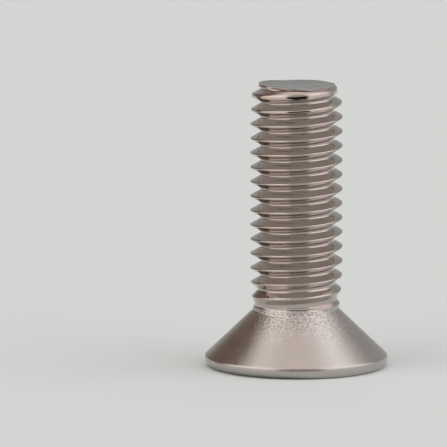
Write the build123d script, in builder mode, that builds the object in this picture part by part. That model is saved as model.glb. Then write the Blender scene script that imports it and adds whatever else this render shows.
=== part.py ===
"""Countersunk screw with a hexagon socket, M8 x 25: one solid of stainless steel.

The screw stands on the flat face of its head. The origin is the centre of that
face, +Z runs up the shank to the end of the thread, and all sizes are millimetres.
"""

from build123d import *
from math import atan, ceil, cos, degrees, radians, sin, tan
import os

# ---- Driving dimensions ----

overall_length = 24.6          # from the face of the head to the highest point of the end

head_diameter = 15.8           # over the cylindrical land round the rim
land_height = 0.8              # of that land
countersink_angle = 90.0       # included angle of the cone under the head
face_edge_bevel = 0.35         # between the face and the land
land_edge_bevel = 0.2          # between the land and the cone
neck_radius = 0.4              # fillet between the cone and the shank
neck_length = 0.285            # plain shank left between the cone and the thread

socket_across_flats = 5.1      # takes a 5 mm hexagon key
socket_depth = 3.8
socket_mouth_bevel = 0.12

thread_diameter = 7.9          # over the crests
thread_pitch = 1.25            # one start, right-hand
thread_angle = 60.0            # between the flanks
blank_allowance = 0.05         # the unrolled shank is this much over the pitch radius
runout_turns = 2               # the groove rises out of the shank over these turns
runout_end_rise = 0.06         # its root stops this far above the plain shank
last_crest_rise = 0.2          # the lowest crest stands this far above the plain shank

end_taper_length = 1.9         # the crests fall away over this length below the end
end_bevel_height = 0.7         # and more steeply over this last part of it
end_bevel_width = 0.5
end_inset = 0.08               # the sheared end is this much inside the root of the thread
end_tilt = 3.0                 # degrees by which the end leans towards +X
end_rim_width = 0.3            # flat left round the shallow dish in the end
end_dish_depth = 0.25

# ---- Sizes that follow from them ----

head_radius = head_diameter / 2
cone_slope = tan(radians(countersink_angle / 2))

flank_slope = tan(radians(thread_angle / 2))
triangle_height = thread_pitch / 2 / flank_slope
crest_radius = thread_diameter / 2
pitch_radius = crest_radius - triangle_height * 3 / 8
root_radius = crest_radius - triangle_height * 17 / 24
apex_radius = crest_radius - triangle_height * 7 / 8
shank_radius = pitch_radius + blank_allowance

neck_height = land_height + (head_radius - shank_radius) / cone_slope
thread_end_height = neck_height + neck_length
full_thread_height = thread_end_height + runout_turns * thread_pitch
last_crest_radius = shank_radius + last_crest_rise

groove_outer_radius = crest_radius + thread_pitch / 20
groove_outer_half_width = (groove_outer_radius - apex_radius) * flank_slope
groove_root_half_width = (root_radius - apex_radius) * flank_slope
full_turns = ceil((overall_length + groove_outer_half_width - full_thread_height) / thread_pitch)
runout_rise = shank_radius + runout_end_rise - root_radius
runout_slope = runout_rise / (runout_turns * thread_pitch)

end_radius = root_radius - end_inset
end_height = overall_length - end_radius * tan(radians(end_tilt))
end_direction = (sin(radians(end_tilt)), 0, cos(radians(end_tilt)))
end_plane = Plane((0, 0, end_height), z_dir=end_direction)

# the groove is drawn on the -X side, from the axis outwards
groove_plane = Plane((0, 0, 0), x_dir=(-1, 0, 0), z_dir=(0, 1, 0))


def groove_turn(top_height, rise=0.0, slope=0.0):
    """One turn of the groove, running down from top_height on the -X side.

    Its root starts rise above full depth, and moves outwards by slope times the way down."""
    inner_radius = root_radius + rise
    outer_radius = groove_outer_radius + rise
    with BuildPart() as turn:
        with BuildSketch(groove_plane):
            with BuildLine():
                Polyline(
                    (inner_radius, top_height - groove_root_half_width),
                    (outer_radius, top_height - groove_outer_half_width),
                    (outer_radius, top_height + groove_outer_half_width),
                    (inner_radius, top_height + groove_root_half_width),
                    close=True,
                )
            make_face()
        with BuildLine():
            Helix(
                pitch=thread_pitch * (1 + slope ** 2) ** 0.5,
                height=thread_pitch,
                radius=inner_radius,
                center=(0, 0, top_height),
                direction=(0, 0, -1),
                cone_angle=degrees(atan(slope)),
            )
        sweep(is_frenet=True)
    return turn.part


full_turn = groove_turn(full_thread_height + thread_pitch)

with BuildPart() as screw:
    # the forged blank, as one profile from the face of the head up to the end
    with BuildSketch(Plane.YZ):
        with BuildLine():
            Polyline(
                (0, 0),
                (head_radius, 0),
                (head_radius, land_height),
                (shank_radius, neck_height),
                (shank_radius, thread_end_height),
                (last_crest_radius, thread_end_height + last_crest_rise),
                (crest_radius, full_thread_height),
                (crest_radius, overall_length - end_taper_length),
                (end_radius + end_bevel_width, overall_length - end_bevel_height),
                (end_radius, overall_length),
                (0, overall_length),
                close=True,
            )
        make_face()
    revolve(axis=Axis.Z)
    face_edge, land_edge, neck_edge = screw.edges().filter_by(GeomType.CIRCLE).sort_by(Axis.Z)[:3]
    fillet(neck_edge, neck_radius)
    chamfer(land_edge, land_edge_bevel)
    chamfer(face_edge, face_edge_bevel)

    # the sheared end, which the rolling has left hollow
    split(bisect_by=end_plane, keep=Keep.BOTTOM)
    with Locations(end_plane.offset(-end_dish_depth)):
        Cone(
            bottom_radius=0,
            top_radius=end_radius - end_rim_width,
            height=end_dish_depth,
            align=(Align.CENTER, Align.CENTER, Align.MIN),
            mode=Mode.SUBTRACT,
        )

    # the hexagon socket
    with BuildSketch():
        RegularPolygon(socket_across_flats / 2, 6, major_radius=False)
    extrude(amount=socket_depth, mode=Mode.SUBTRACT)
    mouth_edges = screw.faces().sort_by(Axis.Z)[0].inner_wires()[0].edges()
    chamfer(mouth_edges, socket_mouth_bevel)

    # the rolled thread: full turns out through the end, then the run-out down to the neck
    with Locations(*[(0, 0, turn * thread_pitch) for turn in range(full_turns)]):
        add(full_turn, mode=Mode.SUBTRACT)
    for turn in range(runout_turns):
        way_down = turn * thread_pitch
        runout_turn = groove_turn(full_thread_height - way_down, way_down * runout_slope, runout_slope)
        add(runout_turn, mode=Mode.SUBTRACT)

screw.part.label = "screw"
os.makedirs("parts", exist_ok=True)
export_step(screw.part, "parts/screw.step")
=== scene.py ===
"""The looks of a countersunk socket screw: steel, fully threaded, standing on its head."""

import math

import bmesh
import bpy
import numpy as np
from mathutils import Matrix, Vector


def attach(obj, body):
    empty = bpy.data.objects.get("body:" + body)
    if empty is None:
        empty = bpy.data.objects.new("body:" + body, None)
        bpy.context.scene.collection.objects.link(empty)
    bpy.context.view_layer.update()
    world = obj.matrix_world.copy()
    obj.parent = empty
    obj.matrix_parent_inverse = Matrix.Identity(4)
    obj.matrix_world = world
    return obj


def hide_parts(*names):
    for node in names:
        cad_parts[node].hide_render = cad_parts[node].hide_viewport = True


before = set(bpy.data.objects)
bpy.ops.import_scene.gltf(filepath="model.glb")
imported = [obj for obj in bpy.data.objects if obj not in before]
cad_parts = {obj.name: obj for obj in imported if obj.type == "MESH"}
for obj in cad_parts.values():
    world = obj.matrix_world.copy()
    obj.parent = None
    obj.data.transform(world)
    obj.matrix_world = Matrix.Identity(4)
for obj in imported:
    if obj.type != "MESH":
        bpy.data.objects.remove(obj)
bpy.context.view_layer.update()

MM = 0.001  # metres in a millimetre
TURN = 2 * math.pi
COLUMNS = 192  # round the screw, a multiple of 12 so that the hexagon's corners fall on columns
THETA = np.arange(COLUMNS) * TURN / COLUMNS
THREAD, CONE, FACE, SOCKET, END = range(5)  # the order of the materials

# Sizes are in millimetres, and those of the solid itself are as in the CAD model.
# The head
RIM_RADIUS = 7.89
RIM_WIDEST = 0.626  # height of the rim's widest line
RIM_BULGE = 1.3  # radius of the rim's side above that line
RIM_BULGE_ANGLE = 10.0  # degrees that the bulge turns through
RIM_EDGE = 0.25  # radius of its edge with the cone
CONE_FOOT = (7.80, 0.985)  # radius and height where the cone begins
CONE_SLOPE = 0.958  # height gained per millimetre of radius lost
CONE_FACING = 46.2  # degrees upwards from straight out
CONE_TOP_RADIUS = 3.85
FACE_RADIUS = 7.15
FACE_SHIFT = 0.12  # the flat part reaches this much further on the +X side
FACE_CORNER = 0.38  # and this much further still round FACE_CORNER_AT, in degrees
FACE_CORNER_AT = -48
SOCKET_FLATS = 5.1
SOCKET_DEPTH = 3.8
SOCKET_MOUTH = 0.12

# The neck
NECK_RADIUS = 3.594
NECK_TURN = 5.2  # height where the thread's polish gives way to the cone's
NECK_DRIFT = 0.05  # the neck's lines rise and fall this much round the screw
FLARE_FROM, FLARE_HEIGHT, FLARE_ROUND = 5.46, 0.2, 0.7
LEDGE_TOP, LEDGE_BOTTOM, LEDGE_DEPTH = 5.30, 5.17, 0.075
STEP_TOP, STEP_BOTTOM, STEP_DEPTH = 5.10, 5.02, 0.05  # the second edge, just above the cone

# The thread
PITCH = 1.25
SHARP_HEIGHT = PITCH * math.sqrt(3) / 2
CREST_RADIUS = 3.985
CREST_ROUND = 0.095
SHARP_ROOT = CREST_RADIUS + CREST_ROUND - SHARP_HEIGHT  # radius where the two flanks would meet
ROOT_ROUND = SHARP_HEIGHT / 6
ROOT_DRIFT = 0.085  # the root is a little deeper on the -X side
FLANK_SLOPE = math.sqrt(3)  # radius lost per millimetre of height, for a 60 degree thread
CREST_AT_X = 22.89  # height of a crest on the +X side
TURNS_BELOW = 16  # rows of the mesh start this many turns below that crest
TURNS = 18

# Where it runs out above the head
RUN_OUT_TOP = 7.9  # the groove rises out of the shank between these heights
RUN_OUT_END = 5.6
CREST_DROP_FROM = 8.5  # below here each crest is lower than the one above it
LAST_CREST_HEIGHT = 5.4
LAST_CREST = 3.78
MELT_FROM, MELT_TO = 5.5, 5.08  # over these heights the last crest melts into the neck
FINE_NICKS = 0.004  # height of the crest's unevenness
COARSE_NICKS = 0.018  # and more of it below COARSE_FROM
COARSE_FROM, COARSE_TO = 6.9, 6.3
THREAD_LOW = 5.50  # the helical rows start here, with plain rings below
RING_STEP = 0.02
RINGS_BELOW = 31

# Where it starts at the end
WORN_FROM = 21.6  # from here up the crests are lower, and over the last turn they fade away
WORN_OVER = 0.7
WORN_DEPTH = 0.06
FADE_FROM = 23.25
FADE_RATE, FADE_POWER = 0.5, 1.6
SHOULDER_SLOPE, SHOULDER_FROM, SHOULDER_ROUND = 0.14, 0.05, 1.6
LIP_RADIUS = 3.28
CHAMFER_INSET = 0.05
CHAMFER_SLOPE = 1.1
END_HEIGHT = 24.455  # of the end's edge, before what follows
END_TILT = 0.125  # higher on the -X side
END_LIFT = 0.11  # raised again close to the +X side
END_SAG, SAG_AT, SAG_WIDTH = 0.1, 117, 24  # a shallow sag at the back, in mm and degrees
LIP_HEIGHT = 0.40  # the helical rows stop this far below the edge
LIP_SINK = 0.015  # lowers the whole edge, so that the lip's waves stay in the CAD model's box
UNDERCUT, UNDERCUT_AT, UNDERCUT_WIDTH = 0.12, 0.12, 0.045  # the groove under the lip
RIM_BELOW = 0.10  # the lip is as wide as the thread is this far below it
DISH_DEPTH, DISH_POWER = 0.24, 2.6


def smooth_step(low, high, value):
    t = np.clip((value - low) / (high - low), 0, 1)
    return t * t * (3 - 2 * t)


def smooth_min(a, b, blend):
    h = np.clip(0.5 + 0.5 * (b - a) / blend, 0, 1)
    return b + (a - b) * h - blend * h * (1 - h)


def smooth_max(a, b, blend):
    return -smooth_min(-a, -b, blend)


def bell(value, centre, width):
    return np.exp(-(((value - centre) / width) ** 2))


def waves(theta, *parts):
    """A closed wave round the screw: each part is (cycles, height, phase)."""
    return sum(height * np.sin(cycles * theta + phase) for cycles, height, phase in parts)


def end_edge(theta):
    """Height of the end's uneven edge, highest on the -X side."""
    across = np.cos(theta)
    lift = END_LIFT * np.clip(across, 0, 1) ** 2
    sag = END_SAG * bell(np.degrees(theta) % 360, SAG_AT, SAG_WIDTH)
    uneven = waves(theta, (3, 0.012, 1.0), (7, 0.008, 0.2))
    return END_HEIGHT - END_TILT * across + lift - sag + uneven


def thread_form(height, root_round):
    """Radius of the thread at a height above its crest, for one full rounded ridge."""
    u = np.abs((height + PITCH / 2) % PITCH - PITCH / 2)
    crest = CREST_RADIUS - CREST_ROUND + np.sqrt(np.clip(CREST_ROUND**2 - u**2, 0, None))
    v = PITCH / 2 - u
    root = SHARP_ROOT + 2 * root_round - np.sqrt(np.clip(root_round**2 - v**2, 0, None))
    flank = CREST_RADIUS + CREST_ROUND - FLANK_SLOPE * u
    half_width = math.sqrt(3) / 2
    form = np.where(u < CREST_ROUND * half_width, crest, flank)
    return np.where(v < root_round * half_width, root, form)


def cone_radius(z):
    return CONE_FOOT[0] - (z - CONE_FOOT[1]) / CONE_SLOPE


def neck_form(theta, z):
    """Radius of the neck, which flares into a small ledge, with a second edge just above the cone.

    Both grow faint towards the +X side.
    """
    drift = NECK_DRIFT * np.sin(theta + 0.5)
    z = z - drift
    into_flare = np.clip(FLARE_FROM - z, 0, FLARE_HEIGHT)
    flare = FLARE_ROUND - np.sqrt(np.clip(FLARE_ROUND**2 - into_flare**2, 0, None))
    ledge = LEDGE_DEPTH * smooth_step(LEDGE_TOP, LEDGE_BOTTOM, z)
    step = STEP_DEPTH * smooth_step(STEP_TOP, STEP_BOTTOM, z)
    share = 1 - 0.9 * np.clip(np.cos(theta), 0, 1)
    return smooth_max(NECK_RADIUS + (flare + ledge + step) * share, cone_radius(z + drift), 0.03)


def worn_crest(crest_height, z):
    """The most that a crest can reach near the end: flattened, with a rounded upper shoulder."""
    worn = WORN_DEPTH * smooth_step(WORN_FROM, WORN_FROM + WORN_OVER, crest_height)
    fade = FADE_RATE * np.clip(crest_height - FADE_FROM, 0, None) ** FADE_POWER
    above = z - crest_height
    rounding = SHOULDER_ROUND * np.clip(above - SHOULDER_FROM, 0, None) ** 2
    shoulder = SHOULDER_SLOPE * above + rounding
    return np.maximum(CREST_RADIUS - worn - fade, LIP_RADIUS + shoulder) - shoulder


def crest_top(crest_height):
    """Radius that the crest reaches: less towards the head, until it melts into the neck."""
    drop = (CREST_DROP_FROM - crest_height) / (CREST_DROP_FROM - LAST_CREST_HEIGHT)
    top = CREST_RADIUS - (CREST_RADIUS - LAST_CREST) * np.clip(drop, 0, 1) ** 1.3
    fade = smooth_step(MELT_TO, MELT_FROM, crest_height)
    along = (crest_height - CREST_AT_X) * TURN / PITCH  # angle along the helix
    rough = waves(along, (61.3, 0.45, 0.0), (47.7, 0.3, 2.0), (83.1, 0.25, 1.0))
    depth = FINE_NICKS + COARSE_NICKS * smooth_step(COARSE_FROM, COARSE_TO, crest_height)
    return NECK_RADIUS + (top + depth * rough - NECK_RADIUS) * fade


def surface_radius(theta, z):
    """Radius of the threaded part anywhere between the cone and the end's edge."""
    height = z - CREST_AT_X - PITCH * theta / TURN
    crest_height = z - ((height + PITCH / 2) % PITCH - PITCH / 2)
    root_height = z - (height % PITCH - PITCH / 2)
    root_round = ROOT_ROUND + ROOT_DRIFT * np.cos(theta)
    full_root = SHARP_ROOT + root_round
    full_depth = CREST_RADIUS - full_root
    below_crest = (CREST_RADIUS - thread_form(height, root_round)) / full_depth
    risen = np.clip((RUN_OUT_TOP - root_height) / (RUN_OUT_TOP - RUN_OUT_END), 0, 1)
    root = full_root + (NECK_RADIUS - full_root) * risen
    top = crest_top(crest_height)
    form = top - below_crest * (top - root)
    worn = smooth_min(form, worn_crest(crest_height, z), 0.02)
    chamfer = LIP_RADIUS - CHAMFER_INSET + CHAMFER_SLOPE * (end_edge(theta) - z)
    worn = smooth_min(worn, chamfer, 0.05)
    form = np.where(z > WORN_FROM - 1, worn, form)
    return np.where(z < THREAD_LOW, np.maximum(form, neck_form(theta, z)), form)


def profile_heights():
    """Heights of the mesh rows over one pitch, close together round the crest and the root."""
    arc = [math.radians(a) for a in (0, 20, 40, 60)]
    crest = [CREST_ROUND * math.sin(a) for a in arc]
    root = [PITCH / 2 - ROOT_ROUND * math.sin(a) for a in reversed(arc)]
    flank_height = root[0] - crest[-1]
    flank = [crest[-1] + flank_height * share for share in (0.1, 0.27, 0.43, 0.58, 0.74, 0.9)]
    half = crest + flank + root
    return half + [PITCH - h for h in reversed(half[1:-1])]


class Skin:
    """A closed surface made of rings of COLUMNS points, from the end down to the socket's floor."""

    def __init__(self):
        self.points = []
        self.faces = []
        self.kinds = []

    def ring(self, radius, z, theta=THETA):
        """Adds points at these radii and heights, and gives their numbers."""
        radius = np.broadcast_to(np.asarray(radius, float), theta.shape)
        z = np.broadcast_to(np.asarray(z, float), theta.shape)
        start = len(self.points)
        self.points.extend(zip(radius * np.cos(theta), radius * np.sin(theta), z))
        return list(range(start, len(self.points)))

    def face(self, corners, kind):
        """Adds a face, unless its corners fall together on fewer than three points."""
        kept = list(dict.fromkeys(corners))
        if len(kept) > 2:
            self.faces.append(kept)
            self.kinds.append(kind)

    def band(self, upper, lower, kind):
        for j in range(COLUMNS):
            k = (j + 1) % COLUMNS
            self.face((upper[j], lower[j], lower[k], upper[k]), kind)

    def bands(self, rings, kind):
        for upper, lower in zip(rings, rings[1:]):
            self.band(upper, lower, kind)

    def cap(self, ring, z, kind):
        """Closes a ring with a fan of faces round a point on the axis."""
        centre = self.ring(0.0, z, np.zeros(1))[0]
        for j in range(COLUMNS):
            self.face((ring[j], ring[(j + 1) % COLUMNS], centre), kind)


def threaded_rows(skin, lower, upper, low, high):
    """Helical rows from the ring lower, at height low, to the ring upper, at heights high."""
    heights = profile_heights()
    per_turn = len(heights)
    rows = TURNS * per_turn
    first = CREST_AT_X - TURNS_BELOW * PITCH
    snap = 0.02  # points nearer than this to either ring are that ring's own
    index = np.empty((rows + 1, COLUMNS), int)
    for i in range(rows + 1):
        z = first + PITCH * (i // per_turn) + heights[i % per_turn] + PITCH * THETA / TURN
        inside = (z > low + snap) & (z < high - snap)
        index[i] = np.where(z <= low + snap, lower, upper)
        if inside.any():
            radius = surface_radius(THETA, z)
            index[i][inside] = skin.ring(radius[inside], z[inside], THETA[inside])
    for i in range(rows):
        for j in range(COLUMNS):
            # past the last column a row goes on as the one that lies a turn higher
            row = i if j + 1 < COLUMNS else min(i + per_turn, rows)
            k = (j + 1) % COLUMNS
            above = index[min(row + 1, rows)][k]
            skin.face((index[i][j], index[row][k], above, index[i + 1][j]), THREAD)


def cut_marks(x, y):
    """Height of the faint ridges that cutting left across the end."""
    broad = 0.012 * np.sin(6.1 * y + 0.7 * np.sin(0.9 * x))
    fine = 0.006 * np.sin(10.3 * y + 0.6 * np.sin(1.3 * x + 1))
    return broad + fine


def end_rings(skin):
    """The dished end and its uneven lip. Gives the ring where the thread starts and its heights."""
    edge = end_edge(THETA) - LIP_SINK
    under_lip = surface_radius(THETA, edge - RIM_BELOW)
    rim = np.maximum(under_lip, LIP_RADIUS - CHAMFER_INSET)
    level = float(edge.mean())
    inside = []
    for share in np.linspace(0.08, 0.9, 13):
        radius = rim * share
        dish = DISH_DEPTH * (1 - share**DISH_POWER)
        marks = cut_marks(radius * np.cos(THETA), radius * np.sin(THETA))
        inside.append(skin.ring(radius, level + (edge - level) * share**6 - dish + marks))
    lip = waves(THETA, (2, 0.012, 0.7), (5, 0.012, 2.1), (9, 0.01, 0.3))
    for inset, drop in ((0.22, 0.02), (0.15, 0.004), (0.10, 0.0), (0.05, 0.012)):
        inside.append(skin.ring(rim - inset, edge - drop + lip))
    inside.append(skin.ring(rim - 0.02, edge - 0.035))
    outside = [inside[-1]]
    for below in (*np.arange(0.07, 0.38, 0.03), LIP_HEIGHT):
        undercut = UNDERCUT * bell(below, UNDERCUT_AT, UNDERCUT_WIDTH)
        outside.append(skin.ring(surface_radius(THETA, edge - below) - undercut, edge - below))
    skin.cap(inside[0], level - DISH_DEPTH, END)
    skin.bands(inside, END)
    skin.bands(outside, THREAD)
    return outside[-1], edge - LIP_HEIGHT


def arc_points(centre, radius, start, stop, steps):
    """Points (radius, height) on an arc round centre, with angles in degrees from straight out."""
    angles = [math.radians(start + (stop - start) * k / steps) for k in range(steps + 1)]
    x, z = centre
    return [(x + radius * math.cos(a), z + radius * math.sin(a)) for a in angles]


def face_radius():
    """Radius of the flat part of the face, whose edge is rounded unevenly."""
    towards_corner = np.cos(THETA - math.radians(FACE_CORNER_AT))
    corner = FACE_CORNER * smooth_step(0.62, 0.95, towards_corner)
    return FACE_RADIUS + FACE_SHIFT * np.cos(THETA) + corner


def hexagon(flats):
    """Radius of a hexagon with corners on the X axis, at each column."""
    return flats / 2 / np.cos(THETA % (TURN / 6) - TURN / 12)


def cone_and_rim():
    """Rings (radius, height) down the cone, round the bulging rim and in to the face."""
    cone_rings, rim_steps = 14, 12
    radii = [CONE_TOP_RADIUS + (CONE_FOOT[0] - CONE_TOP_RADIUS) * k / cone_rings
             for k in range(cone_rings)]
    rings = [(radius, CONE_FOOT[1] + (CONE_FOOT[0] - radius) * CONE_SLOPE) for radius in radii]
    bulge = (RIM_RADIUS - RIM_BULGE, RIM_WIDEST)
    # the edge's arc lies inside the bulge's and touches it where the bulge begins
    edge = arc_points(bulge, RIM_BULGE - RIM_EDGE, RIM_BULGE_ANGLE, RIM_BULGE_ANGLE, 1)[0]
    rings += arc_points(edge, RIM_EDGE, CONE_FACING, RIM_BULGE_ANGLE, 6)
    rings += arc_points(bulge, RIM_BULGE, RIM_BULGE_ANGLE, 0, 3)[1:]
    inner = face_radius()
    for k in range(1, rim_steps + 1):
        a = math.pi / 2 * k / rim_steps
        rings.append((inner + (RIM_RADIUS - inner) * math.cos(a), RIM_WIDEST * (1 - math.sin(a))))
    return rings


def face_rings():
    """Rings (radius, height) across the face, from its edge to the socket's mouth."""
    outer = face_radius()
    mouth = hexagon(SOCKET_FLATS + 2 * SOCKET_MOUTH)
    return [(outer + (mouth - outer) * share, 0.0) for share in (0.15, 0.4, 0.65, 0.85, 0.97, 1.0)]


def socket_rings():
    """Rings (radius, height) over the socket's rounded mouth, up its walls and over its floor."""
    rings = []
    for angle in (30, 60, 90):
        a = math.radians(angle)
        inset = SOCKET_MOUTH * (1 - math.sin(a))
        rings.append((hexagon(SOCKET_FLATS + 2 * inset), SOCKET_MOUTH * (1 - math.cos(a))))
    wall = hexagon(SOCKET_FLATS)
    rings += [(wall, depth) for depth in (0.6, 1.6, 2.8, SOCKET_DEPTH - 0.1)]
    rings.append((wall - 0.03, SOCKET_DEPTH - 0.03))
    rings += [(wall - inset, SOCKET_DEPTH) for inset in (0.1, 0.9, 1.9)]
    return rings


def head_rings(skin):
    """Everything below the helical rows, down to the socket's floor. Gives the topmost ring."""
    def on_surface(z):
        return surface_radius(THETA, np.full(COLUMNS, z))

    neck = [THREAD_LOW - RING_STEP * k for k in range(1, RINGS_BELOW + 1)]
    rows = [(on_surface(z), z, THREAD if z > NECK_TURN else CONE) for z in neck]
    for rings, kind in ((cone_and_rim(), CONE), (face_rings(), FACE), (socket_rings(), SOCKET)):
        rows += [(radius, z, kind) for radius, z in rings]
    top = last = skin.ring(on_surface(THREAD_LOW), THREAD_LOW)
    for radius, z, kind in rows:
        ring = skin.ring(radius, z)
        skin.band(last, ring, kind)
        last = ring
    skin.cap(last, SOCKET_DEPTH, SOCKET)
    return top


def build_mesh():
    skin = Skin()
    upper, high = end_rings(skin)
    lower = head_rings(skin)
    threaded_rows(skin, lower, upper, THREAD_LOW, high)
    mesh = bpy.data.meshes.new("screw_steel")
    mesh.from_pydata([Vector(p) * MM for p in skin.points], [], skin.faces)
    mesh.polygons.foreach_set("material_index", skin.kinds)
    work = bmesh.new()
    work.from_mesh(mesh)
    bmesh.ops.recalc_face_normals(work, faces=work.faces)
    work.to_mesh(mesh)
    work.free()
    mesh.shade_smooth()
    mesh.set_sharp_from_angle(angle=math.radians(42))
    return mesh


# ---- node helpers: a value is a number, a colour (red, green, blue) or another node's output


def feed(tree, socket, value):
    if isinstance(value, bpy.types.NodeSocket):
        tree.links.new(value, socket)
    elif isinstance(value, tuple):
        socket.default_value = (*value, 1)
    else:
        socket.default_value = value


def math_node(tree, operation, *values):
    node = tree.nodes.new("ShaderNodeMath")
    node.operation = operation
    for socket, value in zip(node.inputs, values):
        feed(tree, socket, value)
    return node.outputs["Value"]


def map_range(tree, value, source, target, interpolation="LINEAR"):
    """Carries the range source, as (from, to), over to the range target."""
    node = tree.nodes.new("ShaderNodeMapRange")
    node.interpolation_type = interpolation
    node.inputs["From Min"].default_value, node.inputs["From Max"].default_value = source
    node.inputs["To Min"].default_value, node.inputs["To Max"].default_value = target
    tree.links.new(value, node.inputs["Value"])
    return node.outputs["Result"]


def mix_colour(tree, factor, a, b):
    node = tree.nodes.new("ShaderNodeMix")
    node.data_type = "RGBA"
    # a Mix node has sockets of the same names for each data type, so these are picked by kind
    inputs = {s.name: s for s in node.inputs if s.type == "RGBA"}
    feed(tree, node.inputs["Factor"], factor)
    feed(tree, inputs["A"], a)
    feed(tree, inputs["B"], b)
    return next(s for s in node.outputs if s.type == "RGBA")


def add_noise(tree, vector, scale, detail=4.0):
    node = tree.nodes.new("ShaderNodeTexNoise")
    node.inputs["Scale"].default_value = scale
    node.inputs["Detail"].default_value = detail
    node.inputs["Roughness"].default_value = 0.55
    tree.links.new(vector, node.inputs["Vector"])
    return node.outputs["Fac"]


def place(tree, kind):
    """Texture coordinates: "Object" is the point on the piece, in metres."""
    return tree.nodes.new("ShaderNodeTexCoord").outputs[kind]


def split_axes(tree, vector):
    node = tree.nodes.new("ShaderNodeSeparateXYZ")
    tree.links.new(vector, node.inputs["Vector"])
    return node.outputs


def stretched_place(tree, stretch):
    """The point on the piece, stretched along each axis."""
    node = tree.nodes.new("ShaderNodeMapping")
    node.inputs["Scale"].default_value = stretch
    tree.links.new(place(tree, "Object"), node.inputs["Vector"])
    return node.outputs["Vector"]


# ---- materials

# grains and clouds are noise scales, in cycles per metre
CLOUD_SCALE = 450.0
GLOSS_SCALE = 1400.0
FINE_GRAIN = 3000.0
CONE_GRAIN = 7000.0
FACE_GRAIN = 6000.0
GRAIN_DEPTH = 0.004 * MM

# the cone's top is speckled and coarser, more and more up to this height
SPECKLE_HEIGHT = 4.6 * MM
COARSE_OVER = 2.0 * MM
COARSE_GAIN = 12.0
SPECKLE_BELOW, SPECKLE_ABOVE = 2.2 * MM, 0.4 * MM
SPECKLE_SHARE = 0.62
SPOT_DARK, SPOT_LIGHT = (0.36, 0.31, 0.29), (0.80, 0.74, 0.73)


def new_material(name, metallic):
    material = bpy.data.materials.new(name)
    material.use_nodes = True
    tree = material.node_tree
    tree.nodes.clear()
    output = tree.nodes.new("ShaderNodeOutputMaterial")
    shader = tree.nodes.new("ShaderNodeBsdfPrincipled")
    tree.links.new(shader.outputs["BSDF"], output.inputs["Surface"])
    shader.inputs["Metallic"].default_value = metallic
    return material, tree, shader


def steel(name, light, dark, rough, stretch=(1, 1, 1), grain=FINE_GRAIN, speckled=False):
    """Stainless steel with a faint cloud of colour, uneven gloss and a fine grain."""
    material, tree, shader = new_material(name, 1.0)
    where = stretched_place(tree, (1, 1, 1))
    colour = mix_colour(tree, add_noise(tree, where, CLOUD_SCALE), dark, light)
    gloss = add_noise(tree, where, GLOSS_SCALE)
    tree.links.new(map_range(tree, gloss, (0.3, 0.7), rough), shader.inputs["Roughness"])
    fine = add_noise(tree, stretched_place(tree, stretch), grain, 3.0)
    if speckled:
        colour = speckled_above(tree, colour, fine)
        fine = deeper_above(tree, fine)
    tree.links.new(colour, shader.inputs["Base Color"])
    bump = tree.nodes.new("ShaderNodeBump")
    bump.inputs["Strength"].default_value = 1.0
    bump.inputs["Distance"].default_value = GRAIN_DEPTH
    tree.links.new(fine, bump.inputs["Height"])
    tree.links.new(bump.outputs["Normal"], shader.inputs["Normal"])
    return material


def speckled_above(tree, colour, fine):
    """Spots the steel light and dark over the last stretch up to the speckle's height."""
    spots = map_range(tree, fine, (0.40, 0.60), (0.0, 1.0))
    spotted = mix_colour(tree, spots, SPOT_DARK, SPOT_LIGHT)
    height = split_axes(tree, place(tree, "Object"))["Z"]
    stretch = (SPECKLE_HEIGHT - SPECKLE_BELOW, SPECKLE_HEIGHT + SPECKLE_ABOVE)
    share = map_range(tree, height, stretch, (0.0, SPECKLE_SHARE))
    return mix_colour(tree, share, colour, spotted)


def deeper_above(tree, fine):
    """Deepens the grain over the last stretch up to the speckle's height."""
    height = split_axes(tree, place(tree, "Object"))["Z"]
    stretch = (SPECKLE_HEIGHT - COARSE_OVER, SPECKLE_HEIGHT)
    return math_node(tree, "MULTIPLY", fine, map_range(tree, height, stretch, (1.0, COARSE_GAIN)))


def all_materials():
    """The steels, in the order of the kinds of face."""
    return [
        steel("steel_thread", (0.54, 0.48, 0.445), (0.50, 0.44, 0.405), (0.05, 0.10)),
        steel("steel_cone", (0.53, 0.49, 0.465), (0.49, 0.45, 0.42), (0.18, 0.28),
              (0.7, 0.7, 1), CONE_GRAIN, speckled=True),
        steel("steel_face", (0.56, 0.52, 0.49), (0.52, 0.48, 0.45), (0.2, 0.3),
              (0.1, 1, 1), FACE_GRAIN),
        steel("steel_socket", (0.50, 0.46, 0.42), (0.42, 0.38, 0.34), (0.2, 0.32)),
        steel("steel_end", (0.54, 0.52, 0.50), (0.46, 0.44, 0.42), (0.12, 0.22)),
    ]


def paper():
    """Plain pale paper, the same for the camera and for the steel's reflections."""
    material, _, shader = new_material("pale_paper", 0.0)
    shader.inputs["Base Color"].default_value = (0.74, 0.79, 0.80, 1)
    shader.inputs["Roughness"].default_value = 1.0
    shader.inputs["Specular IOR Level"].default_value = 0.0
    return material


# ---- stage, light and camera

FLOOR_HALF = 2.0  # metres
FLOOR_GAP = 0.01 * MM  # keeps the floor clear of the head's face

SKY = (0.95, 0.87, 0.84)
# each panel: centre, half size and soft edge, as (azimuth, elevation) in degrees, then its colour;
# azimuth 0 is towards the camera and 90 to its right
PANELS = (
    # the dim back of the room
    ((165, 5), (35, 25), (45, 30), (0.4, 0.4, 0.4)),
    # soft boxes on both sides, and the dimmer gap between them
    ((-60, 40), (20, 20), (30, 15), (1.4, 1.35, 1.3)),
    ((75, 40), (25, 20), (25, 15), (1.4, 1.4, 1.4)),
    ((5, 38), (15, 18), (30, 12), (0.55, 0.5, 0.45)),
    # something dark low on the left
    ((-130, 20), (20, 25), (15, 20), (0.2, 0.15, 0.12)),
    # the dark front, where the camera stands
    ((5, 7), (22, 3), (14, 5), (0.02, 0.02, 0.02)),
)

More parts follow.
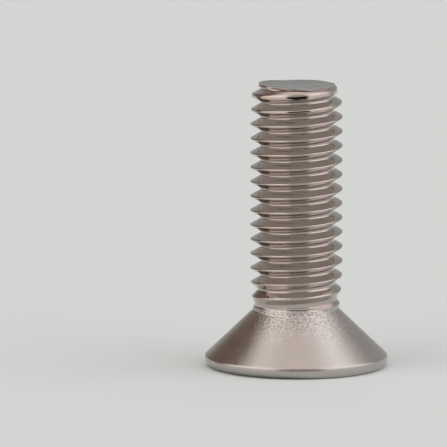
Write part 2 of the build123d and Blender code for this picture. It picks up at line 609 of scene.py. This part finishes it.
CAMERA_TILT = math.radians(8.9)  # looking down
CAMERA_DISTANCE = 0.95  # metres, from the point that it looks at
CAMERA_SENSOR = 36.0
CAMERA_LENS = 888.3
LOOKS_AT = (-6.27 * MM, 0.0, 12.33 * MM)


def make_floor():
    mesh = bpy.data.meshes.new("floor")
    signs = ((-1, -1), (1, -1), (1, 1), (-1, 1))
    corners = [(x * FLOOR_HALF, y * FLOOR_HALF, -FLOOR_GAP) for x, y in signs]
    mesh.from_pydata(corners, [], [(0, 1, 2, 3)])
    floor = bpy.data.objects.new("floor", mesh)
    bpy.context.scene.collection.objects.link(floor)
    mesh.materials.append(paper())


def sky_angles(tree):
    """Azimuth and elevation of a direction, in degrees."""
    x, y, z = split_axes(tree, place(tree, "Generated"))
    azimuth = math_node(tree, "ARCTAN2", x, math_node(tree, "MULTIPLY", y, -1.0))
    elevation = math_node(tree, "ARCSINE", z)
    return [math_node(tree, "DEGREES", angle) for angle in (azimuth, elevation)]


def panel_edge(tree, angle, centre, half, soft):
    """1 within half degrees of centre, fading smoothly to 0 over soft degrees."""
    turned = math_node(tree, "WRAP", math_node(tree, "SUBTRACT", angle, centre), 180, -180)
    away = math_node(tree, "ABSOLUTE", turned)
    return map_range(tree, away, (half + soft, half), (0.0, 1.0), "SMOOTHSTEP")


def make_sky():
    world = bpy.data.worlds.new("studio")
    bpy.context.scene.world = world
    world.use_nodes = True
    tree = world.node_tree
    tree.nodes.clear()
    angles = sky_angles(tree)
    colour = SKY
    for centre, half, soft, tint in PANELS:
        across, up = (panel_edge(tree, *parts) for parts in zip(angles, centre, half, soft))
        colour = mix_colour(tree, math_node(tree, "MULTIPLY", across, up), colour, tint)
    background = tree.nodes.new("ShaderNodeBackground")
    tree.links.new(colour, background.inputs["Color"])
    output = tree.nodes.new("ShaderNodeOutputWorld")
    tree.links.new(background.outputs["Background"], output.inputs["Surface"])


def make_camera():
    data = bpy.data.cameras.new("camera")
    data.sensor_width = CAMERA_SENSOR
    data.lens = CAMERA_LENS
    data.clip_start = 0.05
    data.clip_end = 10.0
    camera = bpy.data.objects.new("camera", data)
    back = Vector((0, -math.cos(CAMERA_TILT), math.sin(CAMERA_TILT)))
    camera.location = Vector(LOOKS_AT) + CAMERA_DISTANCE * back
    camera.rotation_euler = (math.pi / 2 - CAMERA_TILT, 0, 0)
    bpy.context.scene.collection.objects.link(camera)
    bpy.context.scene.camera = camera


screw = bpy.data.objects.new("screw_steel", build_mesh())
bpy.context.scene.collection.objects.link(screw)
for made in all_materials():
    screw.data.materials.append(made)
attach(screw, "root")
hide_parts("screw")

make_floor()
make_sky()
make_camera()
bpy.context.scene.view_settings.view_transform = "Standard"
